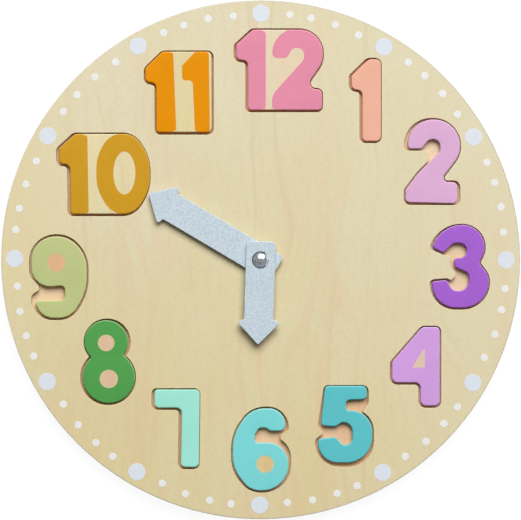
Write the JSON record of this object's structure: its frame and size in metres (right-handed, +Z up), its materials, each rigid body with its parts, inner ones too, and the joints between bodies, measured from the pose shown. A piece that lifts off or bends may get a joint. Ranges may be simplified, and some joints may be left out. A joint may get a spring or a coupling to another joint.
{
  "type": "puzzle teaching clock",
  "caption": "Round wooden teaching clock with loose painted number pieces in recesses and two hand-turned arrow hands on a central rivet.",
  "frame": {"origin": "middle of the flat underside of the backing board", "axes": "+Z up out of the clock's face, +Y towards 12 o'clock, +X towards 3 o'clock"},
  "size_m": [0.3, 0.3, 0.016],
  "materials": {
    "plywood": "bare, clear sealed",
    "silver_plastic": "satin silver with a fine speckle",
    "polished_rivet": "polished",
    "nylon": "matt",
    "zinc_washer": "zinc plated",
    "dot_ink": "printed white",
    "paint_01": "painted salmon, satin",
    "paint_02": "painted pale pink, satin",
    "paint_03": "painted purple, satin",
    "paint_04": "painted lilac, satin",
    "paint_05": "painted teal, satin",
    "paint_06": "painted aqua, satin",
    "paint_07": "painted mint, satin",
    "paint_08": "painted green, satin",
    "paint_09": "painted sage, satin",
    "paint_10": "painted mustard, satin",
    "paint_11": "painted orange, satin",
    "paint_12": "painted pink, satin"
  },
  "bodies": {
    "root": {"backing_board": "plywood", "face_board": "plywood", "rivet": "polished_rivet", "spacer_washer": "nylon", "hand_washer": "nylon", "clinch_washer": "zinc_washer"},
    "minute_hand": {"minute_hand": "silver_plastic"},
    "hour_hand": {"hour_hand": "silver_plastic"},
    "number_01": {"number_01": "paint_01"},
    "number_02": {"number_02": "paint_02"},
    "number_03": {"number_03": "paint_03"},
    "number_04": {"number_04": "paint_04"},
    "number_05": {"number_05": "paint_05"},
    "number_06": {"number_06": "paint_06"},
    "number_07": {"number_07": "paint_07"},
    "number_08": {"number_08": "paint_08"},
    "number_09": {"number_09": "paint_09"},
    "number_10": {"number_10": "paint_10"},
    "number_11": {"number_11": "paint_11"},
    "number_12": {"number_12": "paint_12"}
  },
  "joints": [
    {"name": "minute_hand_turn", "type": "hinge", "parent": "root", "child": "minute_hand", "pos_m": [0, 0, 0.0109], "axis": [0, 0, -1], "continuous": true},
    {"name": "hour_hand_turn", "type": "hinge", "parent": "root", "child": "hour_hand", "pos_m": [0, 0, 0.0128], "axis": [0, 0, -1], "continuous": true},
    {"name": "number_01_lift", "type": "slide", "parent": "root", "child": "number_01", "axis": [0, 0, 1], "range_m": [0, 0.015]},
    {"name": "number_02_lift", "type": "slide", "parent": "root", "child": "number_02", "axis": [0, 0, 1], "range_m": [0, 0.015]},
    {"name": "number_03_lift", "type": "slide", "parent": "root", "child": "number_03", "axis": [0, 0, 1], "range_m": [0, 0.015]},
    {"name": "number_04_lift", "type": "slide", "parent": "root", "child": "number_04", "axis": [0, 0, 1], "range_m": [0, 0.015]},
    {"name": "number_05_lift", "type": "slide", "parent": "root", "child": "number_05", "axis": [0, 0, 1], "range_m": [0, 0.015]},
    {"name": "number_06_lift", "type": "slide", "parent": "root", "child": "number_06", "axis": [0, 0, 1], "range_m": [0, 0.015]},
    {"name": "number_07_lift", "type": "slide", "parent": "root", "child": "number_07", "axis": [0, 0, 1], "range_m": [0, 0.015]},
    {"name": "number_08_lift", "type": "slide", "parent": "root", "child": "number_08", "axis": [0, 0, 1], "range_m": [0, 0.015]},
    {"name": "number_09_lift", "type": "slide", "parent": "root", "child": "number_09", "axis": [0, 0, 1], "range_m": [0, 0.015]},
    {"name": "number_10_lift", "type": "slide", "parent": "root", "child": "number_10", "axis": [0, 0, 1], "range_m": [0, 0.015]},
    {"name": "number_11_lift", "type": "slide", "parent": "root", "child": "number_11", "axis": [0, 0, 1], "range_m": [0, 0.015]},
    {"name": "number_12_lift", "type": "slide", "parent": "root", "child": "number_12", "axis": [0, 0, 1], "range_m": [0, 0.015]}
  ]
}
